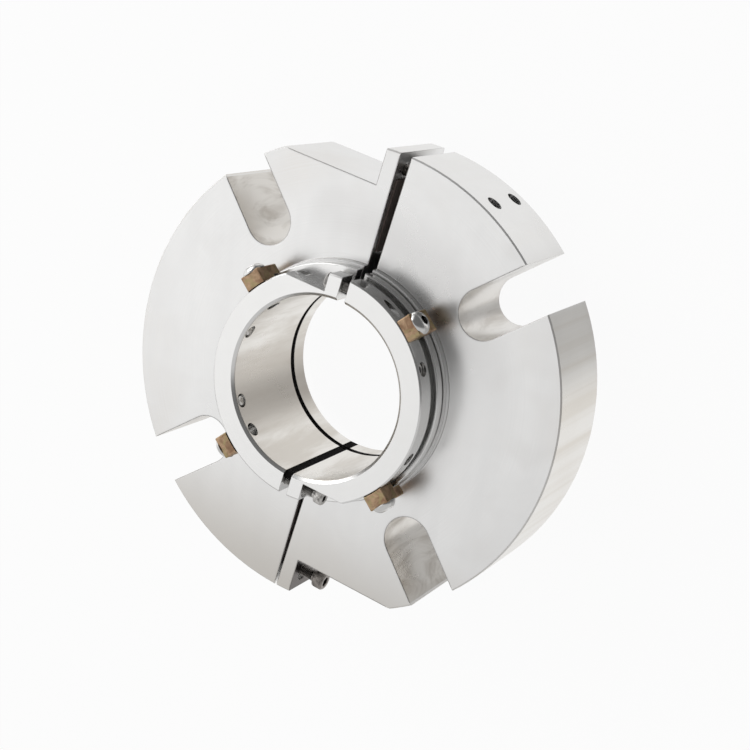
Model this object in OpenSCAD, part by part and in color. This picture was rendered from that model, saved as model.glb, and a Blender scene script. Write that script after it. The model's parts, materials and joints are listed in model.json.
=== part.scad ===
// Split mechanical seal for a rotating shaft.
// Shaft axis is Z, the gland's back face is at z = 0 and the holder's flange points to +Z.
// Modules are written with the joint plane at x = 0 and turned to their place at the end.

/* [Shaft and holder] */
// diameter of the shaft that the holder is clamped on
shaft_d = 80; // [79:0.5:81]
// wall of the holder's neck
neck_wall = 4.4; // [4.2:0.1:4.6]
// radial thickness of the holder's front flange over the shaft
flange_wall = 10.5; // [10.3:0.1:11]
// axial thickness of the holder's front flange
flange_t = 9.2; // [9:0.1:10]
// groove between the flange and the land behind it
flange_groove_w = 2.9; // [2:0.1:3.5]
// depth of that groove below the flange
flange_groove_depth = 3; // [2:0.1:3.4]
// axial width of the land behind the groove
land_w = 4.9; // [4:0.1:6]
// height of the land above the flange's outside
land_step = 1.8; // [1.2:0.1:2]
// gap between the two halves of the holder
holder_gap = 4; // [3:0.1:4.4]
// chamfer at the front of the bore
bore_chamfer = 1.3; // [0.8:0.1:1.4]
// distance of the holder's back end in front of the gland's back face
holder_back = 3.1; // [2:0.1:4]
// thickness of the holder's joint lugs
holder_lug_w = 6.2; // [5.6:0.1:7]
// flat beside a joint lug, measured outwards from the end of the bore chamfer
holder_flat_wall = 0.5; // [0.4:0.1:1]

/* [Gland] */
// outside diameter of the gland
gland_d = 207; // [204:1:210]
// thickness of the gland
gland_t = 43.3; // [42.5:0.1:45]
// raised rim on the gland's front around the holder
rim_h = 3.5; // [2.5:0.1:3.8]
// outside diameter of that rim
rim_d = 106.8; // [105:0.2:108]
// width of the joint gap at the top, on the outside diameter
gap_top = 5.4; // [4:0.1:6]
// width of the joint gap at the bottom, on the outside diameter
gap_bottom = 1.1; // [0.9:0.1:1.6]
// depth of the flats under the gland's outside
gland_flat_depth = 16.5; // [15.5:0.5:17.5]
// thickness of the gland's joint lugs
gland_lug_w = 6.7; // [6.2:0.1:7.4]
// width of the stud slots
slot_w = 22; // [20:0.5:23]
// distance from the axis to the bottom of a stud slot
slot_bottom = 65.1; // [65:0.1:67]
// chamfer on the gland's outer edges
edge_chamfer = 0.6; // [0.3:0.1:1]
// diameter of the two ports in the rim
port_d = 7; // [6:0.5:8]
// depth of a port's threaded part
port_depth = 12; // [10:0.5:15]
// diameter of the drilling behind a port
port_drill_d = 4; // [3:0.5:5]
// height of the rear port over the gland's back face
port_z_back = 9; // [8:0.5:12]
// height of the front port over the gland's back face
port_z_front = 30.4; // [28:0.1:33]
// angle of the ports from the joint plane's normal
port_angle = 68; // [66:1:70]
// angle of the joint plane in the finished part
joint_turn = -45; // [-45:0]

/* [Seal faces] */
// radial width of the rotating face ring
rotor_w = 4.6; // [4.2:0.1:4.8]
// length of the rotating face ring
rotor_len = 11; // [10:0.1:12]
// length of the stationary face ring
stator_len = 12; // [11:0.1:12.5]
// radial width of the stationary face ring
stator_w = 5.8; // [5.4:0.1:6]
// axial travel left for the stationary face ring
float_gap = 2; // [1.6:0.1:2.4]
// film gap between the two sealing faces
film = 0.05; // [0.04:0.01:0.08]
// number of coil springs behind the stationary face ring
spring_n = 8; // [6:2:8]
// outside diameter of a coil spring
spring_d = 3.4; // [3:0.1:3.6]
// section of the shaft O-ring
shaft_ring_d = 2.4; // [2:0.1:2.6]

/* [Clips] */
// width of a setting clip
clip_w = 9.9; // [9:0.1:11]
// radial thickness of a setting clip
clip_t = 6.5; // [5.5:0.1:7]
// length of a setting clip along the shaft
clip_len = 15.4; // [15:0.1:16]
// angle of the first clip from the joint plane's normal
clip_angle = 52; // [50:1:54]
// angles of the set screws of one half
set_angle_a = 32.5; // [31:0.5:33]
// second set screw of a half
set_angle_b = -13.5; // [-15:0.5:-10]

/* [Hidden] */
// general assembly clearance, per side
clear = 0.3;
// clearance of a shank in its own tapped or press-fit hole, per side
snug = 0.05;
// clearance of a screw in its through hole, per side
screw_clear = 0.3;
eps = 0.01;
far = 200;

bore_r = shaft_d / 2;
neck_r = bore_r + neck_wall;
flange_r = bore_r + flange_wall;
land_r = flange_r + land_step;
floor_r = flange_r - flange_groove_depth;
gland_r = gland_d / 2;
rim_r = rim_d / 2;
gland_flat = gland_r - gland_flat_depth;

// running clearances around the holder
neck_clear = 1.4;
collar_clear = 1.6;
rim_gap = 0.8;

// face stack, from the back
collar_t = 10;
pocket_depth = 6;
collar_front = holder_back + collar_t;
pocket_floor = collar_front - pocket_depth;
rotor_front = pocket_floor + rotor_len;
stator_back = rotor_front + film + stator_len;
seat_z = stator_back + float_gap;

face_clear = 1.6;
rotor_in = neck_r + face_clear;
rotor_out = rotor_in + rotor_w;
rotor_ring_d = 2.6;
pocket_r = rotor_out + rotor_ring_d;
collar_r = pocket_r + 2.4;
cavity_r = collar_r + collar_clear;
stator_in = neck_r + face_clear + 0.2;
stator_out = stator_in + stator_w;
stator_ring_d = 3;
seat_r = stator_out + stator_ring_d;
seat_step = rotor_front + 1.5;
front_bore_r = neck_r + neck_clear;
nose_len = 2;

// holder's front parts, from the gland's front face
rim_top = gland_t + rim_h;
land_back = rim_top + rim_gap;
groove_back = land_back + land_w;
flange_back = groove_back + flange_groove_w;
holder_front = flange_back + flange_t;
screw_z = (flange_back + holder_front) / 2;
holder_flat = bore_r + bore_chamfer + holder_flat_wall;

// shaft O-ring
shaft_ring_in = 10.5;
shaft_ring_z = holder_back + shaft_ring_in;
shaft_groove_w = shaft_ring_d + 0.8;
shaft_groove_depth = shaft_ring_d - 0.1;

// M5 gland screws
gland_screw_d = 5;
gland_head_d = 8.5;
gland_head_h = 5;
gland_socket = 4;
gland_screw_len = 30;
gland_head_gap = 4.1;
gland_tap_depth = 24;
gland_screw_y = gland_flat + gland_head_d / 2 + gland_head_gap;
gland_screw_inset = 9.5;
gland_spot = 2.6;
gland_backed_off = 9.6;

// M4 holder screws
holder_screw_d = 4;
holder_head_d = 7;
holder_head_h = 4;
holder_socket = 3;
holder_screw_len = 22;
holder_head_gap = 0.2;
holder_screw_y = holder_flat + holder_head_d / 2 + holder_head_gap;
holder_spot = 1.5;
holder_backed_off = 7.2;

// M6 set screws and M6 clip screws
set_d = 6;
set_socket = 3;
set_recess = 1.6;
clip_screw_d = 6;
clip_head_d = 10.5;
clip_head_h = 3.3;
clip_socket = 4;
clip_screw_in = 6;
clip_edge = 0.4;

// gaskets
face_gasket_t = 1.6;
face_gasket_in = cavity_r + 1;
face_gasket_out = slot_bottom - 1.6;
joint_gasket_in = cavity_r + 1.8;
joint_gasket_out = gland_screw_y - gland_screw_d / 2 - screw_clear - 1.2;
joint_gasket_pocket = 1.2;
joint_gasket_proud = 0.7;
joint_gasket_edge = 3;
holder_gasket_in = bore_r + 0.2;
holder_gasket_out = min(neck_r - 0.4, holder_screw_y - holder_screw_d / 2 - clear);
holder_gasket_top_end = groove_back;
holder_gasket_bottom_end = holder_front - 2;

// spring and pin places
spring_r = stator_in + 3.1;
spring_hole = 8;
spring_wire = 0.7;
spring_turns = 4.5;
pin_d = 3;
pin_in_gland = 6;
pin_in_ring = 5;
drive_pin_in = 2.6;
drive_pin_out = 3;

$fn = 96;

// half width of the gland's joint gap at height y
function half_gap(y) = (gap_bottom + (gap_top - gap_bottom) * (y + gland_r) / gland_d) / 2;

// turns the working frame to the finished part's frame
module placed() {
    rotate([0, 0, joint_turn]) children();
}

// everything that is not in the gland's half on this side, gap included (side -1 left, 1 right)
module gland_other_side(side) {
    translate([0, 0, -far / 2])
        linear_extrude(far)
            polygon([
                [side * half_gap(-far), -far],
                [side * half_gap(far), far],
                [-side * far, far],
                [-side * far, -far]
            ]);
}

// the same for a plain gap of width w
module other_side(side, w) {
    x = side * w / 2;
    translate([side > 0 ? x - far : x, -far, -far / 2])
        cube([far, 2 * far, far]);
}

// cylinder along +X from x0 to x1 at height y and z
module rod_x(d, x0, x1, y, z) {
    translate([x0, y, z])
        rotate([0, 90, 0])
            cylinder(d = d, h = x1 - x0);
}

// cylinder along the radius at angle a from r0 to r1
module rod_r(d, a, r0, r1, z, sides = $fn) {
    rotate([0, 0, a])
        translate([r0, 0, z])
            rotate([0, 90, 0])
                cylinder(d = d, h = r1 - r0, $fn = sides);
}

module ring(r0, r1, z0, z1) {
    rotate_extrude()
        polygon([[r0, z0], [r1, z0], [r1, z1], [r0, z1]]);
}

module round_ring(r, d, z) {
    rotate_extrude()
        translate([r, z])
            circle(d = d, $fn = 32);
}

// gland ring before it is parted
module gland_body() {
    c = edge_chamfer;
    rotate_extrude()
        polygon([
            [front_bore_r, seat_z],
            [seat_r, seat_z],
            [seat_r, seat_step],
            [cavity_r, seat_step],
            [cavity_r, 0],
            [face_gasket_in, 0],
            [face_gasket_in, face_gasket_t],
            [face_gasket_out, face_gasket_t],
            [face_gasket_out, 0],
            [gland_r - c, 0],
            [gland_r, c],
            [gland_r, gland_t - c],
            [gland_r - c, gland_t],
            [rim_r, gland_t],
            [rim_r, rim_top - c],
            [rim_r - c, rim_top],
            [front_bore_r, rim_top]
        ]);
}

module stud_slots() {
    for (a = [45:90:315]) {
        rotate([0, 0, a]) {
            translate([slot_bottom + slot_w / 2, 0, -eps])
                cylinder(d = slot_w, h = gland_t + 2 * eps);
            translate([slot_bottom + slot_w / 2, -slot_w / 2, -eps])
                cube([far, slot_w, gland_t + 2 * eps]);
        }
    }
}

// x of the outer face of the lug: top one on the left half, bottom one on the right half
lug_top_x = half_gap(gland_screw_y) + gland_lug_w;
lug_bottom_x = half_gap(-gland_screw_y) + gland_lug_w;

// cuts for the joint screws of one joint, written for the joint at +y with its lug on the left
module joint_holes(lug_face, tapped) {
    for (z = [gland_screw_inset, gland_t - gland_screw_inset]) {
        if (tapped) {
            rod_x(gland_screw_d + 2 * snug, -eps, gland_tap_depth, gland_screw_y, z);
        } else {
            rod_x(gland_screw_d + 2 * screw_clear, -lug_face - eps, eps, gland_screw_y, z);
            rod_x(gland_head_d + 1, -far, -lug_face + gland_spot, gland_screw_y, z);
        }
    }
}

// segment outside the flat, written for the left half at +y
module flat_cut(flat, x, z0, z1) {
    translate([-far, flat, z0])
        cube([far - x, far, z1 - z0]);
}

// bed of a joint gasket (y_sign 1 top joint, -1 bottom joint), written for the left half at +y
module gasket_bed(y_sign) {
    x = half_gap(y_sign * joint_gasket_in) + joint_gasket_pocket;
    translate([-x, joint_gasket_in, joint_gasket_edge])
        cube([far, joint_gasket_out - joint_gasket_in, gland_t - 2 * joint_gasket_edge]);
}

module inner_holes() {
    for (i = [0:spring_n - 1]) {
        rotate([0, 0, (i + 0.5) * 360 / spring_n])
            translate([spring_r, 0, seat_z - eps])
                cylinder(d = spring_d + 2 * clear, h = spring_hole + eps);
    }
    for (a = [0, 180]) {
        rotate([0, 0, a])
            translate([spring_r, 0, seat_z - eps])
                cylinder(d = pin_d + 2 * snug, h = pin_in_gland + eps);
    }
}

module ports() {
    for (z = [port_z_back, port_z_front]) {
        rod_r(port_d, port_angle, gland_r - port_depth, gland_r + 5, z);
        rod_r(port_drill_d, port_angle, seat_r - 2, gland_r, z);
    }
}

module gland_left() {
    color([0.78, 0.78, 0.77])
        placed()
            difference() {
                gland_body();
                gland_other_side(-1);
                stud_slots();
                inner_holes();
                flat_cut(gland_flat, lug_top_x, -eps, gland_t + eps);
                joint_holes(lug_top_x, false);
                rotate([0, 0, 180]) joint_holes(lug_bottom_x, true);
                gasket_bed(1);
            }
}

module gland_right() {
    color([0.78, 0.78, 0.77])
        placed()
            difference() {
                gland_body();
                gland_other_side(1);
                stud_slots();
                inner_holes();
                ports();
                rotate([0, 0, 180]) flat_cut(gland_flat, lug_bottom_x, -eps, gland_t + eps);
                rotate([0, 0, 180]) joint_holes(lug_bottom_x, false);
                joint_holes(lug_top_x, true);
                rotate([0, 0, 180]) gasket_bed(-1);
            }
}

// socket head screw along +X, under-head face at x = 0, head towards -X
module cap_screw(d, head_d, head_h, socket, len) {
    rotate([0, 90, 0]) {
        difference() {
            union() {
                translate([0, 0, -head_h])
                    cylinder(d = head_d, h = head_h);
                cylinder(d = d, h = len);
            }
            translate([0, 0, -head_h - eps])
                cylinder(d = socket / cos(30), h = head_h * 0.55, $fn = 6);
        }
    }
}

module gland_screw(turn, lug_face, backed_off, z) {
    color([0.32, 0.3, 0.29])
        placed()
            rotate([0, 0, turn])
                translate([-lug_face + gland_spot - backed_off, gland_screw_y, z])
                    cap_screw(gland_screw_d, gland_head_d, gland_head_h, gland_socket, gland_screw_len);
}

module gland_screw_top_front() {
    gland_screw(0, lug_top_x, 0, gland_t - gland_screw_inset);
}

module gland_screw_top_back() {
    gland_screw(0, lug_top_x, 0, gland_screw_inset);
}

module gland_screw_bottom_front() {
    gland_screw(180, lug_bottom_x, gland_backed_off, gland_t - gland_screw_inset);
}

module gland_screw_bottom_back() {
    gland_screw(180, lug_bottom_x, gland_backed_off, gland_screw_inset);
}

// flat joint gasket standing a little proud of its half's joint face
module joint_gasket(y_sign) {
    e = 0.1;
    x0 = half_gap(y_sign * joint_gasket_in) + joint_gasket_pocket;
    x1 = half_gap(y_sign * joint_gasket_out) - joint_gasket_proud;
    color([0.2, 0.16, 0.14])
        placed()
            rotate([0, 0, y_sign > 0 ? 0 : 180])
                translate([-x0, joint_gasket_in + e, joint_gasket_edge + e])
                    cube([
                        x0 - x1,
                        joint_gasket_out - joint_gasket_in - 2 * e,
                        gland_t - 2 * joint_gasket_edge - 2 * e
                    ]);
}

module gland_gasket_top() {
    joint_gasket(1);
}

module gland_gasket_bottom() {
    joint_gasket(-1);
}

module face_gasket(side) {
    color([0.08, 0.08, 0.08])
        placed()
            difference() {
                ring(face_gasket_in + 0.1, face_gasket_out - 0.1, 0, face_gasket_t);
                gland_other_side(side);
            }
}

module face_gasket_left() {
    face_gasket(-1);
}

module face_gasket_right() {
    face_gasket(1);
}

// one coil spring standing on z = 0
module coil(h) {
    turns = spring_turns;
    r = (spring_d - spring_wire) / 2;
    linear_extrude(height = h, twist = -360 * turns, slices = 45, $fn = 4)
        polygon([
            [r - spring_wire / 2, -1.1],
            [r + spring_wire / 2, -1.1],
            [r + spring_wire / 2, 1.1],
            [r - spring_wire / 2, 1.1]
        ]);
}

module springs() {
    color([0.7, 0.7, 0.7])
        placed()
            for (i = [0:spring_n - 1]) {
                rotate([0, 0, (i + 0.5) * 360 / spring_n])
                    translate([spring_r, 0, stator_back])
                        coil(float_gap + spring_hole);
            }
}

module stator_pins() {
    color([0.7, 0.7, 0.7])
        placed()
            for (a = [0, 180]) {
                rotate([0, 0, a])
                    translate([spring_r, 0, stator_back - pin_in_ring])
                        cylinder(d = pin_d, h = pin_in_ring + float_gap + pin_in_gland);
            }
}

// stationary face ring half
module stator(side) {
    color([0.16, 0.16, 0.17])
        placed()
            difference() {
                rotate_extrude()
                    polygon([
                        [stator_in + 1.2, rotor_front + film],
                        [stator_out - 2, rotor_front + film],
                        [stator_out - 2, rotor_front + film + nose_len],
                        [stator_out, rotor_front + film + nose_len],
                        [stator_out, stator_back],
                        [stator_in, stator_back],
                        [stator_in, rotor_front + film + nose_len],
                        [stator_in + 1.2, rotor_front + film + nose_len]
                    ]);
                other_side(side, 0.2);
                for (a = [0, 180]) {
                    rotate([0, 0, a])
                        translate([spring_r, 0, stator_back - pin_in_ring - float_gap])
                            cylinder(d = pin_d + 2 * clear, h = pin_in_ring + float_gap + eps);
                }
            }
}

module stator_left() {
    stator(-1);
}

module stator_right() {
    stator(1);
}

module stator_ring() {
    color([0.05, 0.05, 0.05])
        placed()
            round_ring((stator_out + seat_r) / 2, stator_ring_d - 0.1, stator_back - 4);
}

// holder sleeve before it is parted
module holder_body() {
    g = shaft_groove_w / 2;
    c = bore_chamfer;
    rotate_extrude()
        polygon([
            [bore_r, holder_back + 0.6],
            [bore_r + 0.6, holder_back],
            [collar_r, holder_back],
            [collar_r, collar_front],
            [pocket_r, collar_front],
            [pocket_r, pocket_floor],
            [neck_r, pocket_floor],
            [neck_r, land_back],
            [land_r - 0.4, land_back],
            [land_r, land_back + 0.4],
            [land_r, groove_back - 0.3],
            [land_r - 0.3, groove_back],
            [floor_r, groove_back],
            [floor_r, flange_back],
            [flange_r, flange_back],
            [flange_r, holder_front - 0.6],
            [flange_r - 0.6, holder_front],
            [bore_r + c, holder_front],
            [bore_r, holder_front - c],
            [bore_r, shaft_ring_z + g],
            [bore_r + shaft_groove_depth, shaft_ring_z + g],
            [bore_r + shaft_groove_depth, shaft_ring_z - g],
            [bore_r, shaft_ring_z - g]
        ]);
}

// x of the outer face of a holder lug
holder_lug_x = holder_gap / 2 + holder_lug_w;

// cuts for a holder joint, written for the joint at +y with its lug on the left
module holder_joint_left() {
    flat_cut(holder_flat, holder_lug_x, groove_back, holder_front + eps);
    rod_x(holder_screw_d + 2 * screw_clear, -holder_lug_x - eps, eps, holder_screw_y, screw_z);
    rod_x(holder_head_d + 0.8, -far, -holder_lug_x + holder_spot, holder_screw_y, screw_z);
}

module holder_joint_right() {
    rod_x(holder_screw_d + 2 * snug, -eps, far, holder_screw_y, screw_z);
}

module holder_half(side) {
    turn = side < 0 ? 0 : 180;
    difference() {
        holder_body();
        other_side(side, holder_gap);
        rotate([0, 0, turn]) {
            holder_joint_left();
            rotate([0, 0, 180]) holder_joint_right();
            for (a = [set_angle_a, set_angle_b]) {
                rod_r(set_d + 2 * snug, 180 + a, bore_r - 2, flange_r + 2, screw_z);
            }
            for (a = [clip_angle, clip_angle - 90]) {
                rod_r(clip_screw_d + 2 * snug, 180 + a, bore_r - 2, flange_r + 2, screw_z);
            }
            rotate([0, 0, 180])
                translate([(rotor_in + rotor_out) / 2, 0, pocket_floor - drive_pin_in])
                    cylinder(d = pin_d + 2 * snug, h = drive_pin_in + eps);
        }
    }
}

module holder_left() {
    color([0.8, 0.8, 0.79]) placed() holder_half(-1);
}

module holder_right() {
    color([0.8, 0.8, 0.79]) placed() holder_half(1);
}

module holder_screw(turn, backed_off) {
    color([0.5, 0.5, 0.49])
        placed()
            rotate([0, 0, turn])
                translate([-holder_lug_x + holder_spot - backed_off, holder_screw_y, screw_z])
                    cap_screw(holder_screw_d, holder_head_d, holder_head_h, holder_socket, holder_screw_len);
}

module holder_screw_top() {
    holder_screw(0, 0);
}

module holder_screw_bottom() {
    holder_screw(180, holder_backed_off);
}

// rubber strip that fills the gap between the holder halves
module holder_gasket(turn, z_end) {
    color([0.06, 0.06, 0.06])
        placed()
            rotate([0, 0, turn])
                difference() {
                    translate([-holder_gap / 2 + 0.05, holder_gasket_in, holder_back + 0.2])
                        cube([holder_gap - 0.1, holder_gasket_out - holder_gasket_in, z_end - holder_back - 0.2]);
                    ring(
                        bore_r - 5,
                        bore_r + shaft_groove_depth + 0.1,
                        shaft_ring_z - shaft_groove_w / 2,
                        shaft_ring_z + shaft_groove_w / 2
                    );
                }
}

module holder_gasket_top() {
    holder_gasket(0, holder_gasket_top_end);
}

module holder_gasket_bottom() {
    holder_gasket(180, holder_gasket_bottom_end);
}

// rotating face ring half
module rotor(side) {
    color([0.2, 0.2, 0.21])
        placed()
            difference() {
                ring(rotor_in, rotor_out, pocket_floor, rotor_front);
                other_side(side, 0.2);
                for (a = [0, 180]) {
                    rotate([0, 0, a])
                        translate([(rotor_in + rotor_out) / 2, 0, pocket_floor - eps])
                            cylinder(d = pin_d + 2 * screw_clear, h = drive_pin_out + 0.4);
                }
            }
}

module rotor_left() {
    rotor(-1);
}

module rotor_right() {
    rotor(1);
}

module rotor_ring() {
    color([0.05, 0.05, 0.05])
        placed()
            round_ring((rotor_out + pocket_r) / 2, rotor_ring_d - 0.1, pocket_floor + 3);
}

module drive_pins() {
    color([0.7, 0.7, 0.7])
        placed()
            for (a = [0, 180]) {
                rotate([0, 0, a])
                    translate([(rotor_in + rotor_out) / 2, 0, pocket_floor - drive_pin_in])
                        cylinder(d = pin_d, h = drive_pin_in + drive_pin_out);
            }
}

module shaft_ring() {
    color([0.05, 0.05, 0.05])
        placed()
            round_ring(bore_r + shaft_groove_depth / 2, shaft_groove_depth - 0.2, shaft_ring_z);
}

module set_screw(a) {
    r0 = bore_r + 0.4;
    r1 = flange_r - set_recess;
    color([0.55, 0.55, 0.54])
        placed()
            difference() {
                rod_r(set_d, a, r0, r1, screw_z);
                rod_r(set_socket / cos(30), a, r1 - 3, r1 + 1, screw_z, 6);
                rod_r(set_d * 0.5, a, r0 - 1, r0 + 0.8, screw_z);
            }
}

module set_screw_1() {
    set_screw(set_angle_a);
}

module set_screw_2() {
    set_screw(set_angle_b);
}

module set_screw_3() {
    set_screw(180 + set_angle_a);
}

module set_screw_4() {
    set_screw(180 + set_angle_b);
}

clip_out = flange_r + clip_t;

// flat plate [0, x] by [0, y] with its four corners cut off
module cut_plate(x, y, c) {
    polygon([[c, 0], [x - c, 0], [x, c], [x, y - c], [x - c, y], [c, y], [0, y - c], [0, c]]);
}

// block [0, x] by [0, y] by [0, z] with all its edges broken
module broken_block(x, y, z, c) {
    intersection() {
        linear_extrude(z) cut_plate(x, y, c);
        translate([0, y, 0])
            rotate([90, 0, 0])
                linear_extrude(y)
                    cut_plate(x, z, c);
        rotate([90, 0, 90])
            linear_extrude(x)
                cut_plate(y, z, c);
    }
}

// setting clip: seated on the flange, relieved over the land
module clip(a) {
    color([0.55, 0.43, 0.28])
        placed()
            difference() {
                rotate([0, 0, a])
                    translate([floor_r, -clip_w / 2, holder_front - clip_len])
                        broken_block(clip_out - floor_r, clip_w, clip_len, clip_edge);
                ring(0, flange_r + 0.05, 0, holder_front + 1);
                ring(0, land_r + 0.4, 0, flange_back - 0.4);
                rod_r(clip_screw_d + 2 * screw_clear, a, floor_r, clip_out + 1, screw_z);
            }
}

module clip_1() {
    clip(clip_angle);
}

module clip_2() {
    clip(clip_angle + 90);
}

module clip_3() {
    clip(clip_angle + 180);
}

module clip_4() {
    clip(clip_angle + 270);
}

// button head screw of a clip, its head a cap cut from a ball
module clip_screw(a) {
    rr = clip_head_d / 2;
    ball = (rr * rr + clip_head_h * clip_head_h) / (2 * clip_head_h);
    color([0.75, 0.75, 0.75])
        placed()
            difference() {
                rotate([0, 0, a])
                    translate([clip_out, 0, screw_z])
                        rotate([0, 90, 0])
                            union() {
                                intersection() {
                                    cylinder(r = rr, h = clip_head_h);
                                    translate([0, 0, clip_head_h - ball]) sphere(r = ball);
                                }
                                translate([0, 0, -clip_t - clip_screw_in])
                                    cylinder(d = clip_screw_d, h = clip_t + clip_screw_in + 0.2);
                            }
                rod_r(clip_socket / cos(30), a, clip_out + clip_head_h - 2, clip_out + 8, screw_z, 6);
            }
}

module clip_screw_1() {
    clip_screw(clip_angle);
}

module clip_screw_2() {
    clip_screw(clip_angle + 90);
}

module clip_screw_3() {
    clip_screw(clip_angle + 180);
}

module clip_screw_4() {
    clip_screw(clip_angle + 270);
}

gland_left();
gland_right();
gland_screw_top_front();
gland_screw_top_back();
gland_screw_bottom_front();
gland_screw_bottom_back();
gland_gasket_top();
gland_gasket_bottom();
face_gasket_left();
face_gasket_right();
springs();
stator_pins();
stator_left();
stator_right();
stator_ring();
holder_left();
holder_right();
holder_screw_top();
holder_screw_bottom();
holder_gasket_top();
holder_gasket_bottom();
rotor_left();
rotor_right();
rotor_ring();
drive_pins();
shaft_ring();
set_screw_1();
set_screw_2();
set_screw_3();
set_screw_4();
clip_1();
clip_2();
clip_3();
clip_4();
clip_screw_1();
clip_screw_2();
clip_screw_3();
clip_screw_4();
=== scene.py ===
"""Split mechanical seal: the looks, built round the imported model. Lengths are in metres."""

import json
import math

import bpy
from mathutils import Matrix, Vector


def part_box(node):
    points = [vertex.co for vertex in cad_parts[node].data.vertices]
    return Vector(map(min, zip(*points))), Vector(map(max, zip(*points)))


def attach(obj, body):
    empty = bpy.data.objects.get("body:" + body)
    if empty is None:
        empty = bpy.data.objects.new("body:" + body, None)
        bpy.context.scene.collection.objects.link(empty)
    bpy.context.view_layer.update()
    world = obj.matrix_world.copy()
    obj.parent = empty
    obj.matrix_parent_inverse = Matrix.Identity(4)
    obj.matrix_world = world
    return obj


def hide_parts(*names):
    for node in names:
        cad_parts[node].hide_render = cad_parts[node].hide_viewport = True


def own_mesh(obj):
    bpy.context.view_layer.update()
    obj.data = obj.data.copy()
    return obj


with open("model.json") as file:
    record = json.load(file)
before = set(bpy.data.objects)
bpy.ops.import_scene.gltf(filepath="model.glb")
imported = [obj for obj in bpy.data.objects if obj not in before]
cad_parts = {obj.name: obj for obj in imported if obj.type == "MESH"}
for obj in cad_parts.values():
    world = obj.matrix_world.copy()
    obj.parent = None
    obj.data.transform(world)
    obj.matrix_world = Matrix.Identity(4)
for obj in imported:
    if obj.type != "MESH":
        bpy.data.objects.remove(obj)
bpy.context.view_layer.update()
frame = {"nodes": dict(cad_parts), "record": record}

MM = 0.001
WHITE = (1.0, 1.0, 1.0)
NODES = frame["nodes"]
RECORD = frame["record"]
BODY_OF = {node: body for body, nodes in RECORD["behaviour"]["bodies"].items() for node in nodes}
SLOT_OF = {row["node"]: row["material_slot"] for row in RECORD["subparts"]}

# The joint plane stands upright in the photograph, and is turned by this much in the model
JOINT_TURN = -45.0
# Both ends of the joint, each with its turn about the shaft axis
JOINT_ENDS = (("top", 0.0), ("bottom", 180.0))
# Directions of the clips and set screws, counted from the joint plane's normal
CLIP_ANGLES = (52.0, 142.0, 232.0, 322.0)
SET_ANGLES = (32.5, -13.5, 212.5, 166.5)

# Sizes of the model that the materials follow
GLAND_R = 103.5 * MM
GLAND_FLAT = 87.0 * MM
STUD_SLOT_HALF = 11.0 * MM
BORE_R = 40.0 * MM


def working(direction):
    """Turns a direction given with the joint upright, +Y at its top gap, to the model's frame."""
    return Matrix.Rotation(math.radians(JOINT_TURN), 3, "Z") @ Vector(direction).normalized()


# Camera

CAMERA_TARGET = Vector((18.17, -4.54, 43.3)) * MM
CAMERA_DISTANCE = 680.66 * MM
CAMERA_AZIMUTH = -2.987
CAMERA_ELEVATION = 60.62
CAMERA_ROLL = 110.70
CAMERA_LENS = 76.13
CAMERA_SENSOR = 36.0
CAMERA_NEAR = 0.02
CAMERA_FAR = 30.0


def make_camera():
    data = bpy.data.cameras.new("camera")
    data.lens = CAMERA_LENS
    data.sensor_width = CAMERA_SENSOR
    data.sensor_height = CAMERA_SENSOR
    data.clip_start = CAMERA_NEAR
    data.clip_end = CAMERA_FAR
    camera = bpy.data.objects.new("camera", data)
    bpy.context.scene.collection.objects.link(camera)
    azimuth, elevation = math.radians(CAMERA_AZIMUTH), math.radians(CAMERA_ELEVATION)
    back = Vector((
        math.cos(azimuth) * math.cos(elevation),
        math.sin(azimuth) * math.cos(elevation),
        math.sin(elevation),
    ))
    upright = back.to_track_quat("Z", "Y").to_matrix()
    roll = Matrix.Rotation(math.radians(-CAMERA_ROLL), 3, "Z")
    turn = (upright @ roll).to_4x4()
    camera.matrix_world = Matrix.Translation(CAMERA_TARGET + back * CAMERA_DISTANCE) @ turn
    bpy.context.scene.camera = camera


# Node trees

# Rays that look for edges and for crevices round a point
EDGE_SAMPLES = 6
CREVICE_SAMPLES = 8


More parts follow.
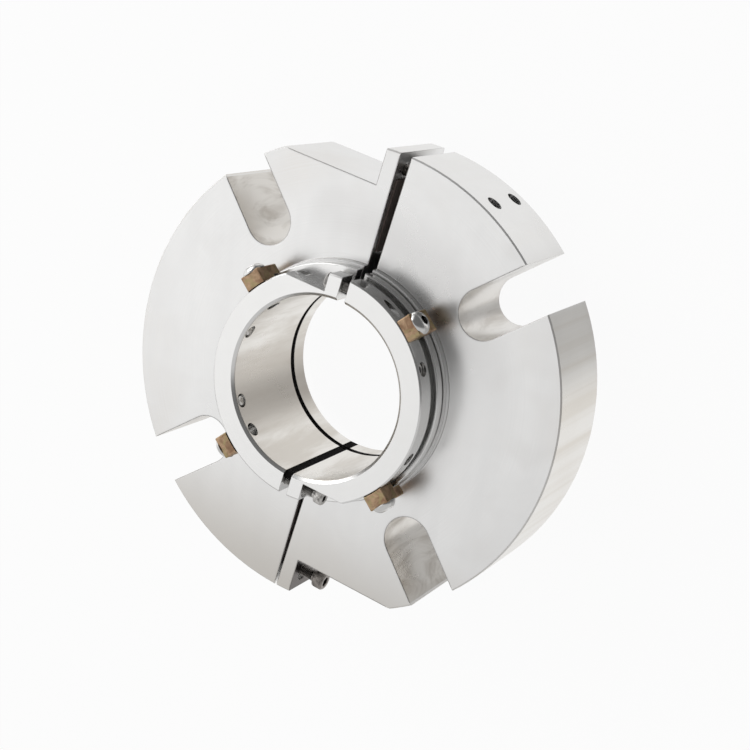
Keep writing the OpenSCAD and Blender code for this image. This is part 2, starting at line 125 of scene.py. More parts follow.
class Nodes:
    """A node tree, with short calls for the nodes used here."""

    def __init__(self, tree):
        self.tree = tree
        tree.nodes.clear()

    def add(self, kind, **settings):
        node = self.tree.nodes.new(kind)
        for key, value in settings.items():
            setattr(node, key, value)
        return node

    def link(self, source, target):
        self.tree.links.new(source, target)

    def put(self, socket, value):
        """Links a socket to another node's output, or sets its number, vector or colour."""
        if isinstance(value, bpy.types.NodeSocket):
            self.link(value, socket)
        elif socket.type == "RGBA":
            socket.default_value = (*value, 1.0)
        else:
            socket.default_value = value

    def put_all(self, node, **values):
        """The same for several sockets, named with an underscore for each blank."""
        for name, value in values.items():
            self.put(node.inputs[name.replace("_", " ")], value)

    def math(self, operation, *values):
        node = self.add("ShaderNodeMath", operation=operation)
        for socket, value in zip(node.inputs, values):
            self.put(socket, value)
        return node.outputs[0]

    def product(self, first, *others):
        for other in others:
            first = self.math("MULTIPLY", first, other)
        return first

    def dot(self, vector, direction):
        node = self.add("ShaderNodeVectorMath", operation="DOT_PRODUCT")
        self.put(node.inputs[0], vector)
        self.put(node.inputs[1], direction)
        return node.outputs["Value"]

    def split(self, vector):
        node = self.add("ShaderNodeSeparateXYZ")
        self.link(vector, node.inputs[0])
        return node.outputs

    def remap(self, value, low, high, new_low=0.0, new_high=1.0, curve="LINEAR"):
        """Takes the range from low to high to a new one, and stays at its ends outside it."""
        node = self.add("ShaderNodeMapRange", interpolation_type=curve)
        self.put_all(node, Value=value, From_Min=low, From_Max=high, To_Min=new_low, To_Max=new_high)
        return node.outputs["Result"]

    def ease(self, value, low, high, new_low=0.0, new_high=1.0):
        """The same with a soft start and end."""
        return self.remap(value, low, high, new_low, new_high, "SMOOTHSTEP")

    def mix(self, kind, factor, first, second):
        node = self.add("ShaderNodeMix", data_type=kind)
        self.put_all(node, Factor=factor, A=first, B=second)
        return node.outputs["Result"]

    def mix_shader(self, factor, first, second):
        node = self.add("ShaderNodeMixShader")
        for socket, value in zip(node.inputs, (factor, first, second)):
            self.put(socket, value)
        return node.outputs[0]


class Material(Nodes):
    """A material: its shader, the place on the object, and the base colour built up so far."""

    def __init__(self, name):
        self.material = bpy.data.materials.new(name)
        self.material.use_nodes = True
        super().__init__(self.material.node_tree)
        output = self.add("ShaderNodeOutputMaterial")
        self.shader = self.add("ShaderNodeBsdfPrincipled")
        self.link(self.shader.outputs["BSDF"], output.inputs["Surface"])
        coords = self.add("ShaderNodeTexCoord")
        self.place = coords.outputs["Object"]
        self.normal = coords.outputs["Normal"]
        self.tone = None

    def tint(self, factor, colour):
        """Takes the base colour towards another by a factor from 0 to 1."""
        self.tone = self.mix("RGBA", factor, self.tone, colour)

    def scaled(self, x=1.0, y=1.0, z=1.0):
        """The place on the object with its axes scaled: a factor under 1 draws a pattern out."""
        node = self.add("ShaderNodeVectorMath", operation="MULTIPLY")
        self.put(node.inputs[0], self.place)
        self.put(node.inputs[1], (x, y, z))
        return node.outputs[0]

    def along(self, x, y):
        """Distance from the shaft axis along a direction given with the joint upright."""
        return self.dot(self.place, working((x, y, 0.0)))

    def noise(self, scale, detail=3.0, rough=0.5, distort=0.0, place=None):
        node = self.add("ShaderNodeTexNoise")
        self.put_all(node, Vector=self.place if place is None else place)
        self.put_all(node, Scale=scale, Detail=detail, Roughness=rough, Distortion=distort)
        return node.outputs["Fac"]

    def line_noise(self, position, scale, detail=2.0):
        node = self.add("ShaderNodeTexNoise", noise_dimensions="1D")
        self.put_all(node, W=position, Scale=scale, Detail=detail)
        return node.outputs["Fac"]

    def edges(self, radius):
        """Normal rounded over the edges, and a mask that is 1 where it leaves the face's own."""
        node = self.add("ShaderNodeBevel", samples=EDGE_SAMPLES)
        self.put(node.inputs["Radius"], radius)
        rounded = node.outputs["Normal"]
        own = self.add("ShaderNodeNewGeometry").outputs["Normal"]
        return rounded, self.ease(self.dot(rounded, own), 0.8, 0.995, 1.0, 0.0)

    def crevices(self, reach, own_only=True):
        """1 in sockets and corners that lie shut in within reach, 0 on open faces."""
        node = self.add("ShaderNodeAmbientOcclusion", samples=CREVICE_SAMPLES, only_local=own_only)
        self.put(node.inputs["Distance"], reach)
        return self.ease(node.outputs["AO"], 0.55, 0.85, 1.0, 0.0)

    def bump(self, height, strength, distance, rounded=None):
        node = self.add("ShaderNodeBump")
        self.put_all(node, Height=height, Strength=strength, Distance=distance)
        if rounded is not None:
            self.put(node.inputs["Normal"], rounded)
        self.link(node.outputs["Normal"], self.shader.inputs["Normal"])

    def finish(self, roughness, metallic=0.0):
        """Sets the shader from the base colour built up, and gives back the material."""
        self.put_all(self.shader, Base_Color=self.tone, Roughness=roughness, Metallic=metallic)
        return self.material


def times(colour, factor):
    return tuple(min(1.0, c * factor) for c in colour)


# Steel of the gland and the holder

GLAND_TONE = (0.84, 0.838, 0.834)
BRUSHED_TONE = (0.79, 0.788, 0.786)
OUTSIDE_TONE = (0.82, 0.795, 0.75)
BAND_TONE = (0.7, 0.66, 0.6)
PATCH_TONE = (0.755, 0.745, 0.735)
# Painted shade on the gland's front beside the holder
SHADED_TONE = (0.6, 0.59, 0.585)
# Painted reflection: tone of the gland's front towards the bottom
LOW_REFLECTION_TONE = (0.62, 0.595, 0.56)
STUD_SLOT_TONE = (0.79, 0.755, 0.7)
# Smudges and painted shade on the stud slots' walls
SMUDGE_AND_SHADE_TONE = (0.33, 0.29, 0.245)
# Painted shade on the lug's face at the bottom gap
LUG_SHADE_TONE = (0.12, 0.105, 0.1)
# Painted shade: dark lines along the steel's edges
EDGE_SHADE_TONE = (0.24, 0.225, 0.21)
HOLDER_TONE = (0.825, 0.822, 0.816)
BORE_DULL = (0.66, 0.625, 0.575)
BORE_PALE = (0.84, 0.82, 0.785)
BORE_SHADE = (0.52, 0.48, 0.43)
# A steel's colour goes to this share of itself, warmer, in its wide clouds
WARM_SHARE = (0.9, 0.875, 0.85)


class Steel(Material):
    """Fine-turned stainless steel with cloudy handling marks, and broken edges with painted shade along
    them.
    """

    def __init__(self, name, colour, rough, cloud, relief):
        super().__init__(name)
        self.rough = rough
        self.relief = relief
        self.measure()
        self.clouds = self.noise(scale=22.0, detail=4.0, rough=0.55, distort=0.4)
        self.grain = self.noise(scale=240.0, rough=0.6)
        self.lines = self.line_noise(self.across, scale=1300.0)
        wide = self.noise(scale=9.0, distort=0.8)
        warm = tuple(c * share for c, share in zip(colour, WARM_SHARE))
        dark, light = times(colour, 1.0 - cloud), times(colour, 1.0 + cloud * 0.6)
        self.tone = self.mix("RGBA", self.ease(self.clouds, 0.3, 0.7), dark, light)
        self.tint(self.ease(wide, 0.5, 0.68, 0.0, 0.75), warm)
        self.tint(self.remap(self.lines, 0.35, 0.65, 0.0, 0.5), times(colour, 0.97))

    def measure(self):
        """Radius and angle round the shaft axis, flat and round faces, place across the lathe's marks."""
        x, y, z = self.split(self.place)
        self.radius = self.math("SQRT", self.math("ADD", self.product(x, x), self.product(y, y)))
        self.angle = self.math("ARCTAN2", y, x)
        upward = self.math("ABSOLUTE", self.split(self.normal)[2])
        self.flat = self.remap(upward, 0.6, 0.8)
        self.round_face = self.math("SUBTRACT", 1.0, self.flat)
        self.across = self.mix("FLOAT", self.flat, z, self.radius)

    def finish_steel(self, edge_width, edge_shade_share, extra_rough):
        """Paints shade along the edges and gives back the material."""
        rounded, edge = self.edges(edge_width)
        # Painted shade: darkens the steel along its edges
        self.tint(self.product(edge, edge_shade_share), EDGE_SHADE_TONE)
        cloudy = self.remap(self.clouds, 0.25, 0.75, self.rough - 0.03, self.rough + 0.04)
        grainy = self.remap(self.grain, 0.3, 0.7, -0.01, 0.01)
        roughness = self.math("ADD", self.math("ADD", cloudy, grainy), extra_rough)
        self.bump(self.lines, strength=self.relief, distance=0.1 * MM, rounded=rounded)
        return self.finish(roughness, metallic=1.0)


def brush_front(steel):
    """Soft streaks over the flat faces, nearly along the joint."""
    node = steel.add("ShaderNodeCombineXYZ")
    steel.put_all(node, X=steel.along(1.0, 0.15), Y=steel.product(steel.along(0.0, 1.0), 0.14))
    streaks = steel.noise(scale=75.0, detail=2.0, distort=0.2, place=node.outputs[0])
    steel.tint(steel.product(steel.flat, steel.ease(streaks, 0.4, 0.65, 0.0, 0.5)), BRUSHED_TONE)


def band_and_shade_outside(steel):
    """Warm bands of tone round the outside, which are the finish; darkening the rim everywhere but towards
    the top gap is painted shade.
    """
    # Painted shade: the warm tone and bands fade out towards the top gap, so the rim stays bright there
    outside = steel.product(
        steel.round_face,
        steel.remap(steel.radius, GLAND_R - 0.9 * MM, GLAND_R - 0.5 * MM),
        steel.ease(steel.along(0.0, 1.0), 55.0 * MM, 85.0 * MM, 1.0, 0.1),
    )
    bands = steel.line_noise(steel.angle, scale=7.0, detail=4.0)
    steel.tint(steel.product(outside, 0.6), OUTSIDE_TONE)
    steel.tint(steel.product(outside, steel.ease(bands, 0.42, 0.66, 0.0, 0.8)), BAND_TONE)


def patch_and_shade_front(steel):
    """Handling marks on the front, more on the right; painted shade beside the holder at the upper right,
    and a painted reflection that darkens the front towards the bottom.
    """
    patches = steel.product(
        steel.flat,
        steel.ease(steel.noise(scale=45.0, detail=1.0, distort=0.5), 0.5, 0.72, 0.0, 0.6),
        steel.remap(steel.along(1.0, 0.5), -60.0 * MM, 60.0 * MM, 0.3, 0.6),
    )
    steel.tint(patches, PATCH_TONE)
    # Painted shade: the front darker beside the holder, towards the upper right
    beside_holder = steel.ease(steel.radius, 64.0 * MM, 90.0 * MM, 0.5, 0.0)
    upper_right = steel.ease(steel.along(0.4, 0.9), 35.0 * MM, 70.0 * MM)
    steel.tint(steel.product(steel.flat, steel.product(beside_holder, upper_right)), SHADED_TONE)
    # Painted reflection: the front darker towards the bottom
    low = steel.ease(steel.along(0.0, -1.0), 50.0 * MM, 105.0 * MM)
    steel.tint(steel.product(steel.flat, low), LOW_REFLECTION_TONE)


def smudge_and_shade_slots(steel):
    """Warm, smudged walls of the four stud slots; painted shade makes them darker on the left and lighter on
    the right.
    """
    x, y, _ = steel.split(steel.place)
    beside_axis = steel.math("MINIMUM", steel.math("ABSOLUTE", x), steel.math("ABSOLUTE", y))
    # Painted shade: the slot walls darker on the left than on the right
    walls = steel.product(
        steel.round_face,
        steel.remap(steel.radius, GLAND_R - 1.3 * MM, GLAND_R - 0.9 * MM, 1.0, 0.0),
        steel.remap(steel.radius, 60.0 * MM, 64.0 * MM),
        steel.remap(beside_axis, STUD_SLOT_HALF + 0.3 * MM, STUD_SLOT_HALF + 0.6 * MM, 1.0, 0.0),
        steel.ease(steel.along(1.0, 0.2), 40.0 * MM, 80.0 * MM, 1.0, 0.4),
    )
    smudges = steel.noise(scale=60.0, detail=4.0, rough=0.6, distort=1.2, place=steel.scaled(z=0.35))
    steel.tint(steel.product(walls, 0.6), STUD_SLOT_TONE)
    steel.tint(steel.product(walls, steel.ease(smudges, 0.4, 0.7, 0.12, 0.7)), SMUDGE_AND_SHADE_TONE)


def paint_lug_shade(steel):
    """Painted shade on the face of the lug at the bottom gap, where it stands above the flat."""
    across = steel.along(1.0, 0.0)
    face = steel.product(
        steel.round_face,
        steel.remap(steel.along(0.0, -1.0), GLAND_FLAT + 0.2 * MM, GLAND_FLAT + 1.0 * MM),
        steel.remap(across, 6.8 * MM, 7.2 * MM),
        steel.remap(across, 9.6 * MM, 10.0 * MM, 1.0, 0.0),
    )
    steel.tint(face, LUG_SHADE_TONE)


def gland_steel(name):
    """The gland: a brushed front, a banded outside and smudges in the milled stud slots, with painted shade
    and reflections on the front, the outside, the slots, the lug and the edges.
    """
    steel = Steel(name, GLAND_TONE, rough=0.29, cloud=0.06, relief=0.015)
    brush_front(steel)
    band_and_shade_outside(steel)
    patch_and_shade_front(steel)
    smudge_and_shade_slots(steel)
    paint_lug_shade(steel)
    edge_width = steel.remap(steel.radius, GLAND_R - 1.9 * MM, GLAND_R - 0.9 * MM, 0.9 * MM, 0.13 * MM)
    turned_edge = steel.product(steel.flat, steel.round_face, 1.4)
    return steel.finish_steel(edge_width, edge_shade_share=0.9, extra_rough=turned_edge)


def holder_steel(name):
    """The clamp holder: a bright front and a duller, warmer bore with a shaded side."""
    steel = Steel(name, HOLDER_TONE, rough=0.23, cloud=0.04, relief=0.05)
    inside = steel.remap(steel.radius, BORE_R + 0.2 * MM, BORE_R + 0.5 * MM, 1.0, 0.0)
    bore = steel.product(steel.round_face, inside)
    streaks = steel.noise(scale=90.0, detail=4.0, rough=0.6, distort=0.3, place=steel.scaled(z=0.15))
    shade = steel.ease(steel.along(-0.87, -0.5), 33.0 * MM, 39.5 * MM, 0.0, 0.8)
    streaky = steel.mix("RGBA", steel.ease(streaks, 0.38, 0.62), BORE_DULL, BORE_PALE)
    steel.tint(bore, steel.mix("RGBA", shade, streaky, BORE_SHADE))
    return steel.finish_steel(0.3 * MM, edge_shade_share=0.5, extra_rough=steel.product(bore, 0.06))


# Other materials

BRASS_DARK = (0.3, 0.18, 0.11)
BRASS_LIGHT = (0.6, 0.42, 0.27)
BRASS_STREAK = (0.24, 0.15, 0.09)
BRASS_STAIN = (0.44, 0.38, 0.19)
# Painted highlight along the brass clips' edges
BRASS_EDGE_HIGHLIGHT = (0.8, 0.62, 0.4)
# Painted shade in the brass's corners, beside the screw's head
BRASS_CREVICE_SHADE = (0.05, 0.032, 0.02)
# Painted shade in sockets and thread grooves
SOCKET_SHADE_TONE = (0.03, 0.027, 0.025)
POLISHED_TONE = (0.74, 0.735, 0.725)
SCREW_TONE = (0.6, 0.585, 0.565)
DARK_SCREW_TONE = (0.3, 0.275, 0.255)
SPRING_TONE = (0.62, 0.61, 0.6)
CARBON_TONE = (0.03, 0.03, 0.033)
HARD_FACE_TONE = (0.06, 0.06, 0.063)
RUBBER_TONE = (0.008, 0.007, 0.007)
GASKET_TONE = (0.12, 0.093, 0.083)


def brass(name):
    """Milled brass bar with short tool marks, a little tarnish, painted highlights on its edges and painted
    shade beside the screw's head.
    """
    surface = Material(name)
    streaks = surface.noise(scale=420.0, rough=0.6, place=surface.scaled(z=6.0))
    blotch = surface.noise(scale=170.0, detail=4.0, rough=0.65, distort=0.6)
    stain = surface.noise(scale=260.0, detail=2.0, distort=0.8)
    rounded, edge = surface.edges(0.5 * MM)
    surface.tone = surface.mix("RGBA", surface.ease(blotch, 0.38, 0.62), BRASS_DARK, BRASS_LIGHT)
    surface.tint(surface.remap(streaks, 0.45, 0.7, 0.0, 0.5), BRASS_STREAK)
    surface.tint(surface.ease(stain, 0.48, 0.62, 0.0, 0.55), BRASS_STAIN)
    # Painted highlight: lightens the brass along its edges
    surface.tint(surface.product(edge, 0.5), BRASS_EDGE_HIGHLIGHT)
    # Painted shade: darkens the brass in corners, beside the screw's head
    surface.tint(surface.product(surface.crevices(1.2 * MM, own_only=False), 0.85), BRASS_CREVICE_SHADE)
    surface.bump(streaks, strength=0.3, distance=0.1 * MM, rounded=rounded)
    return surface.finish(surface.remap(blotch, 0.3, 0.7, 0.4, 0.56), metallic=0.85)


def plain_metal(name, colour, rough, scale=600.0, spread=0.08):
    """Small machined pieces, such as screws, pins and springs, with painted shade in their sockets and
    thread grooves.
    """
    surface = Material(name)
    speckle = surface.noise(scale=scale, rough=0.6)
    dark, light = times(colour, 1.0 - spread * 2.0), times(colour, 1.0 + spread)
    surface.tone = surface.mix("RGBA", surface.remap(speckle, 0.3, 0.7), dark, light)
    # Painted shade: darkens sockets and thread grooves
    surface.tint(surface.product(surface.crevices(3.0 * MM), 0.9), SOCKET_SHADE_TONE)
    surface.bump(speckle, strength=0.06, distance=0.05 * MM)
    return surface.finish(surface.remap(speckle, 0.3, 0.7, rough - 0.04, rough + 0.06), metallic=1.0)


def dull(name, colour, rough, gloss=0.5):
    """Rubber, gasket board and lapped face rings."""
    surface = Material(name)
    speckle = surface.noise(scale=900.0, detail=4.0, rough=0.6)
    blotch = surface.noise(scale=90.0)
    dark, light = times(colour, 0.7), times(colour, 1.3)
    surface.tone = surface.mix("RGBA", surface.remap(blotch, 0.3, 0.7), dark, light)
    surface.shader.inputs["Specular IOR Level"].default_value = gloss
    surface.bump(speckle, strength=0.2, distance=0.1 * MM)
    return surface.finish(surface.remap(speckle, 0.3, 0.7, rough - 0.06, rough + 0.08))


def make_materials():
    return {
        "gland_steel": gland_steel("gland_steel"),
        "holder_steel": holder_steel("holder_steel"),
        "bright_screw": plain_metal("bright_screw", POLISHED_TONE, rough=0.2, scale=1500.0, spread=0.03),
        "screw_steel": plain_metal("screw_steel", SCREW_TONE, rough=0.3),
        "dark_screw": plain_metal("dark_screw", DARK_SCREW_TONE, rough=0.34),
        "spring_steel": plain_metal("spring_steel", SPRING_TONE, rough=0.25),
        "brass": brass("brass"),
        "carbon_face": dull("carbon_face", CARBON_TONE, rough=0.3),
        "hard_face": dull("hard_face", HARD_FACE_TONE, rough=0.2),
        "rubber": dull("rubber", RUBBER_TONE, rough=0.7, gloss=0.05),
        "gasket": dull("gasket", GASKET_TONE, rough=0.6, gloss=0.3),
    }


def dress(obj, slot, materials):
    obj.data.materials.clear()
    obj.data.materials.append(materials[slot])


def add_piece(name, mesh, node, materials):
    """Object that stands for a CAD node, on the node's body and with its finish."""
    piece = bpy.data.objects.new(name, mesh)
    bpy.context.scene.collection.objects.link(piece)
    dress(piece, SLOT_OF[node], materials)
    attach(piece, BODY_OF[node])
    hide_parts(node)
    return piece


# Screws: rings round the X axis, from the bottom of the socket over the head to the tip

SIDES = 96
SHARP_ANGLE = 35.0
RINGS_PER_TURN = 10
# Depth of a thread, as a share of its pitch
THREAD_DEPTH = 0.58
# Bevel at a screw's tip
TIP = 0.6 * MM
# Depth and number of the grooves round a socket head
KNURL_DEPTH = 0.16 * MM
KNURL_COUNT = 48

# Sizes of the screws that their nodes don't give
GLAND_SCREW = dict(head=8.5 * MM, head_h=5 * MM, socket=4 * MM, shank=5 * MM, pitch=0.8 * MM)
HOLDER_SCREW = dict(head=7 * MM, head_h=4 * MM, socket=3 * MM, shank=4 * MM, pitch=0.7 * MM)
CLIP_SCREW = dict(head_h=3.3 * MM, socket=4 * MM, shank=6 * MM, pitch=1 * MM)
SET_SCREW = dict(socket=3 * MM, pitch=1 * MM)


def hexagon(across_flats):
    """Radius of a hexagon at each angle."""
    return lambda a: across_flats / 2 / math.cos((a % (math.pi / 3)) - math.pi / 6)


def knurl(radius):
    """Radius of a straight-knurled head at each angle."""
    return lambda a: radius - KNURL_DEPTH * (0.5 + 0.5 * math.cos(a * KNURL_COUNT))


def thread(x, crest, depth, pitch):
    """Radius of a right-hand thread at station x and each angle."""

    def radius(a):
        phase = (x / pitch - a / (2 * math.pi)) % 1.0
        return crest - depth * min(1.0, 2.6 * abs(phase - 0.5))

    return radius


def threaded_rings(start, end, shank, pitch):
    """Rings of a thread between two stations."""
    count = int((end - start) / pitch * RINGS_PER_TURN)
    stations = [start + (end - start) * i / count for i in range(count + 1)]
    return [(x, thread(x, shank / 2, pitch * THREAD_DEPTH, pitch)) for x in stations]


def lathe(rings):
    """Points and faces of a closed form from rings (x, radius or function of the angle)."""
    verts, faces = [], []
    for x, radius in rings:
        for k in range(SIDES):
            a = 2 * math.pi * k / SIDES
            r = radius(a) if callable(radius) else radius
            verts.append((x, r * math.cos(a), r * math.sin(a)))
    for i in range(len(rings) - 1):
        for k in range(SIDES):
            n = (k + 1) % SIDES
            faces.append((i * SIDES + k, i * SIDES + n, (i + 1) * SIDES + n, (i + 1) * SIDES + k))
    first, last = len(verts), len(verts) + 1
    verts += [(rings[0][0], 0, 0), (rings[-1][0], 0, 0)]
    end = (len(rings) - 1) * SIDES
    for k in range(SIDES):
        n = (k + 1) % SIDES
        faces.append((first, n, k))
        faces.append((last, end + k, end + n))
    return verts, faces


def turned_box(node, angle):
    """Corners of a CAD node in a frame turned by angle degrees about Z."""
    back = Matrix.Rotation(math.radians(-angle), 3, "Z")
    points = [back @ v.co for v in NODES[node].data.vertices]
    low = Vector([min(p[i] for p in points) for i in range(3)])
    high = Vector([max(p[i] for p in points) for i in range(3)])
    return low, high


def axis_place(low, high, angle, flip):
    """Puts a form made round X on a turned box's axis, from its low end or, flipped, its high end."""
    centre = (low + high) / 2
    start = Vector((high.x if flip else low.x, centre.y, centre.z))
    place = Matrix.Rotation(math.radians(angle), 4, "Z") @ Matrix.Translation(start)
    if flip:
        place = place @ Matrix.Rotation(math.pi, 4, "Z")
    return place


def add_screw(node, rings, place, materials):
    """Closed form of the rings, in place of a plain screw."""
    name = node + "_detail"
    verts, faces = lathe(rings)
    mesh = bpy.data.meshes.new(name)
    mesh.from_pydata(verts, [], faces)
    mesh.transform(place)
    mesh.update()
    mesh.shade_smooth()
    mesh.set_sharp_from_angle(angle=math.radians(SHARP_ANGLE))
    add_piece(name, mesh, node, materials)


def cap_screw(node, angle, materials, head, head_h, socket, shank, pitch):
    """Socket head screw with a knurled head, and a plain neck before its thread."""
    low, high = turned_box(node, angle)
    length = high.x - low.x
    bevel = 0.25 * MM
    socket_depth = head_h * 0.55
    neck = head_h + 1.5 * MM
    rings = [
        (socket_depth + 0.6 * MM, 0.3 * MM),
        (socket_depth, hexagon(socket)),
        (0.3 * MM, hexagon(socket)),
        (0.0, hexagon(socket + 0.5 * MM)),
        (0.0, head / 2 - 3 * bevel),
        (bevel, head / 2 - 1.6 * bevel),
        (2.6 * bevel, head / 2 - 0.6 * bevel),
        (2.8 * bevel, knurl(head / 2)),
        (head_h - 0.9 * MM, knurl(head / 2)),
        (head_h - 0.8 * MM, head / 2 - 0.5 * bevel),
        (head_h - 0.2 * MM, head / 2 - 0.5 * bevel),
        (head_h, head / 2 - 1.2 * bevel),
        (head_h, shank / 2),
        (neck, shank / 2),
        *threaded_rings(neck + 0.2 * MM, length - TIP, shank, pitch),
        (length, shank / 2 - TIP),
    ]
    add_screw(node, rings, axis_place(low, high, angle, False), materials)


def dome_rings(head):
    """Rings of a button head's dome: an arc from the socket's rim to the head's edge."""
    arc_r, arc_centre = 4.213 * MM, 1.2 * MM
    socket_rim, count = 2.5 * MM, 12
    rings = []
    for i in range(count):
        r = socket_rim + (head / 2 - socket_rim) * i / (count - 1)
        rings.append((arc_r - math.sqrt(arc_r ** 2 - (r - arc_centre) ** 2), r))
    return rings


def button_screw(node, angle, materials, head_h, socket, shank, pitch):
    """Button head screw of a clip, head outwards."""
    low, high = turned_box(node, angle)
    length = high.x - low.x
    head = high.y - low.y
    socket_depth = 2.0 * MM
    rings = [
        (socket_depth + 0.5 * MM, 0.3 * MM),
        (socket_depth, hexagon(socket)),
        (0.45 * MM, hexagon(socket)),
        (0.2 * MM, hexagon(socket + 0.4 * MM)),
        *dome_rings(head),
        (head_h - 0.1 * MM, head / 2),
        (head_h, head / 2 - 0.1 * MM),
        (head_h, shank / 2),
        *threaded_rings(head_h + 0.6 * MM, length - TIP, shank, pitch),
        (length, shank / 2 - TIP),
    ]
    add_screw(node, rings, axis_place(low, high, angle, True), materials)


def set_screw(node, angle, materials, socket, pitch):
    """Headless screw: socket outwards, cup point towards the shaft."""
    low, high = turned_box(node, angle)
    length = high.x - low.x
    shank = high.y - low.y
    socket_depth = 3.0 * MM
    rings = [
        (socket_depth + 0.5 * MM, 0.2 * MM),
        (socket_depth, hexagon(socket)),
        (0.25 * MM, hexagon(socket)),
        (0.0, hexagon(socket + 0.45 * MM)),
        (0.0, shank / 2 - TIP),
        *threaded_rings(0.55 * MM, length - 1.2 * MM, shank, pitch),
        (length, shank * 0.33),
        (length - 0.1 * MM, shank * 0.26),
        (length - 0.9 * MM, 0.2 * MM),
    ]
    add_screw(node, rings, axis_place(low, high, angle, True), materials)


def make_fasteners(materials):
    for end, turn in JOINT_ENDS:
        for side in ("front", "back"):
            cap_screw("gland_screw_%s_%s" % (end, side), JOINT_TURN + turn, materials, **GLAND_SCREW)
    for end, turn in JOINT_ENDS:
        cap_screw("holder_screw_" + end, JOINT_TURN + turn, materials, **HOLDER_SCREW)
    for i, angle in enumerate(CLIP_ANGLES):
        button_screw("clip_screw_%d" % (i + 1), JOINT_TURN + angle, materials, **CLIP_SCREW)
    for i, angle in enumerate(SET_ANGLES):
        set_screw("set_screw_%d" % (i + 1), JOINT_TURN + angle, materials, **SET_SCREW)


# Springs

SPRING_WIRE = 0.7 * MM
SPRING_COIL = 3.4 * MM
SPRING_TURNS = 5
SPRING_COUNT = 8
WIRE_SIDES = 8
STEPS_PER_TURN = 24


def coil(centre, low, high):
    """Points and faces of one spring of round wire between two heights."""
    wire_r = SPRING_WIRE / 2
    coil_r = (SPRING_COIL - SPRING_WIRE) / 2
    steps = SPRING_TURNS * STEPS_PER_TURN
    verts, faces = [], []
    for i in range(steps + 1):
        turn = 2 * math.pi * SPRING_TURNS * i / steps
        z = low + wire_r + (high - low - SPRING_WIRE) * i / steps
        out = Vector((math.cos(turn), math.sin(turn), 0))
        for k in range(WIRE_SIDES):
            a = 2 * math.pi * k / WIRE_SIDES
            point = centre + out * (coil_r + wire_r * math.cos(a)) + Vector((0, 0, z + wire_r * math.sin(a)))
            verts.append(tuple(point))
    for i in range(steps):
        for k in range(WIRE_SIDES):
            n = (k + 1) % WIRE_SIDES
            j = i * WIRE_SIDES
            faces.append((j + k, j + n, j + WIRE_SIDES + n, j + WIRE_SIDES + k))
    faces.append(tuple(reversed(range(WIRE_SIDES))))
    faces.append(tuple(steps * WIRE_SIDES + k for k in range(WIRE_SIDES)))
    return verts, faces


def make_springs(materials):
    """Round-wire coils in place of the plain ones, on the plain springs' body."""
    low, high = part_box("springs")
    step = 2 * math.pi / SPRING_COUNT
    radius = ((high.x - low.x) / 2 - SPRING_COIL / 2) / math.cos(step / 2)
    verts, faces = [], []
    for s in range(SPRING_COUNT):
        a = math.radians(JOINT_TURN) + (s + 0.5) * step
        centre = Vector((radius * math.cos(a), radius * math.sin(a), 0))
        coil_verts, coil_faces = coil(centre, low.z, high.z)
        faces += [tuple(len(verts) + i for i in face) for face in coil_faces]
        verts += coil_verts
    mesh = bpy.data.meshes.new("spring_coils")
    mesh.from_pydata(verts, [], faces)
    mesh.shade_smooth()
    piece = add_piece("spring_coils", mesh, "springs", materials)
    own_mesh(piece)


# Stage and light

FLOOR_HALF = 6.0
FLOOR_DROP = 0.3 * MM
FLOOR_TONE = (0.9, 0.9, 0.9)
# Share of plain white in the floor that the camera sees; the rest is lit, and keeps the shadow
FLOOR_WHITE = 0.94
STUDIO_TONE = (1.0, 0.998, 0.993)
KEY_DIRECTION = (-0.8, 0.42, 0.4)
KEY_DISTANCE = 1.4
KEY_SIDE = 0.9
KEY_POWER = 4.6


def floor_material():
    """White and lit floor for the camera, lit for diffuse light, and open to the studio in reflections."""
    material = bpy.data.materials.new("floor")
    material.use_nodes = True
    nodes = Nodes(material.node_tree)
    lit = nodes.add("ShaderNodeBsdfDiffuse")
    nodes.put(lit.inputs["Color"], FLOOR_TONE)
    glow = nodes.add("ShaderNodeEmission")
    nodes.put(glow.inputs["Color"], WHITE)
    clear = nodes.add("ShaderNodeBsdfTransparent")
    path = nodes.add("ShaderNodeLightPath").outputs
    seen = nodes.product(path["Is Camera Ray"], FLOOR_WHITE)
    mirrored = nodes.math("MAXIMUM", path["Is Glossy Ray"], path["Is Transmission Ray"])
    plain = nodes.mix_shader(seen, lit.outputs[0], glow.outputs[0])
    output = nodes.add("ShaderNodeOutputMaterial")
    nodes.link(nodes.mix_shader(mirrored, plain, clear.outputs[0]), output.inputs["Surface"])
    return material


def make_floor():
    corners = [(x * FLOOR_HALF, y * FLOOR_HALF, 0) for x, y in ((-1, -1), (1, -1), (1, 1), (-1, 1))]
    mesh = bpy.data.meshes.new("floor")
    mesh.from_pydata(corners, [], [(0, 1, 2, 3)])
    mesh.materials.append(floor_material())
    floor = bpy.data.objects.new("floor", mesh)
    floor.location.z = -FLOOR_DROP
    bpy.context.scene.collection.objects.link(floor)


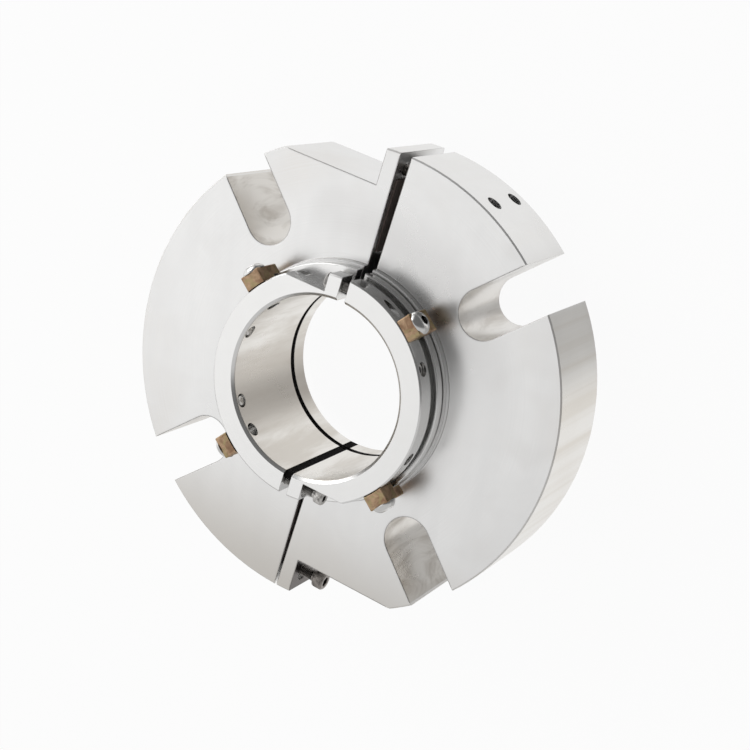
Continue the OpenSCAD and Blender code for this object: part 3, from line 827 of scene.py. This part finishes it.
def studio_level(nodes):
    """Strength of the soft studio in each direction; each step goes over the ones before it."""
    sky = nodes.add("ShaderNodeTexCoord").outputs["Generated"]

    def towards(direction, low, high, dim=0.0, bright=1.0):
        """Goes from dim to bright as the cosine to the direction goes from low to high."""
        return nodes.ease(nodes.dot(sky, working(direction)), low, high, dim, bright)

    # Dim beyond the joint's top, brighter beyond its bottom
    level = towards((0, -1, 0), -0.2, 0.1, 0.16, 0.64)
    # Bright on the left, but not towards the joint's top or straight towards its bottom
    left = nodes.product(
        towards((-1, 0, 0), 0.02, 0.42),
        towards((0, -1, 0), -0.24, 0.04),
        towards((0, 1, 0), -0.52, -0.4),
    )
    level = nodes.mix("FLOAT", left, level, 1.1)
    # Bright spot at the upper left
    level = nodes.mix("FLOAT", towards((-0.8, 0.55, 0.2), 0.86, 0.96), level, 1.12)
    # Bright from below, through the open floor, with a dim spot at the right
    below = nodes.mix("FLOAT", towards((0.37, 0.2, -0.91), 0.955, 0.99), 0.96, 0.46)
    return nodes.mix("FLOAT", towards((0, 0, -1), 0.15, 0.5), level, below)


def make_world():
    """White for the camera, and a soft studio for light and reflections."""
    world = bpy.data.worlds.new("studio")
    bpy.context.scene.world = world
    world.use_nodes = True
    nodes = Nodes(world.node_tree)
    studio = nodes.add("ShaderNodeBackground")
    nodes.put_all(studio, Color=STUDIO_TONE, Strength=studio_level(nodes))
    white = nodes.add("ShaderNodeBackground")
    nodes.put_all(white, Color=WHITE, Strength=1.0)
    path = nodes.add("ShaderNodeLightPath").outputs
    output = nodes.add("ShaderNodeOutputWorld")
    surface = nodes.mix_shader(path["Is Camera Ray"], studio.outputs[0], white.outputs[0])
    nodes.link(surface, output.inputs["Surface"])


def make_key_light():
    data = bpy.data.lights.new("key_box", "AREA")
    data.shape = "RECTANGLE"
    data.size = KEY_SIDE
    data.size_y = KEY_SIDE
    data.energy = KEY_POWER
    data.color = WHITE
    light = bpy.data.objects.new("key_box", data)
    bpy.context.scene.collection.objects.link(light)
    towards = working(KEY_DIRECTION)
    facing = towards.to_track_quat("Z", "Y").to_matrix().to_4x4()
    light.matrix_world = Matrix.Translation(towards * KEY_DISTANCE) @ facing


def main():
    bpy.context.scene.view_settings.view_transform = "Standard"
    make_camera()
    materials = make_materials()
    for name, node in NODES.items():
        dress(node, SLOT_OF[name], materials)
    make_fasteners(materials)
    make_springs(materials)
    make_floor()
    make_world()
    make_key_light()


main()
bpy.context.view_layer.update()
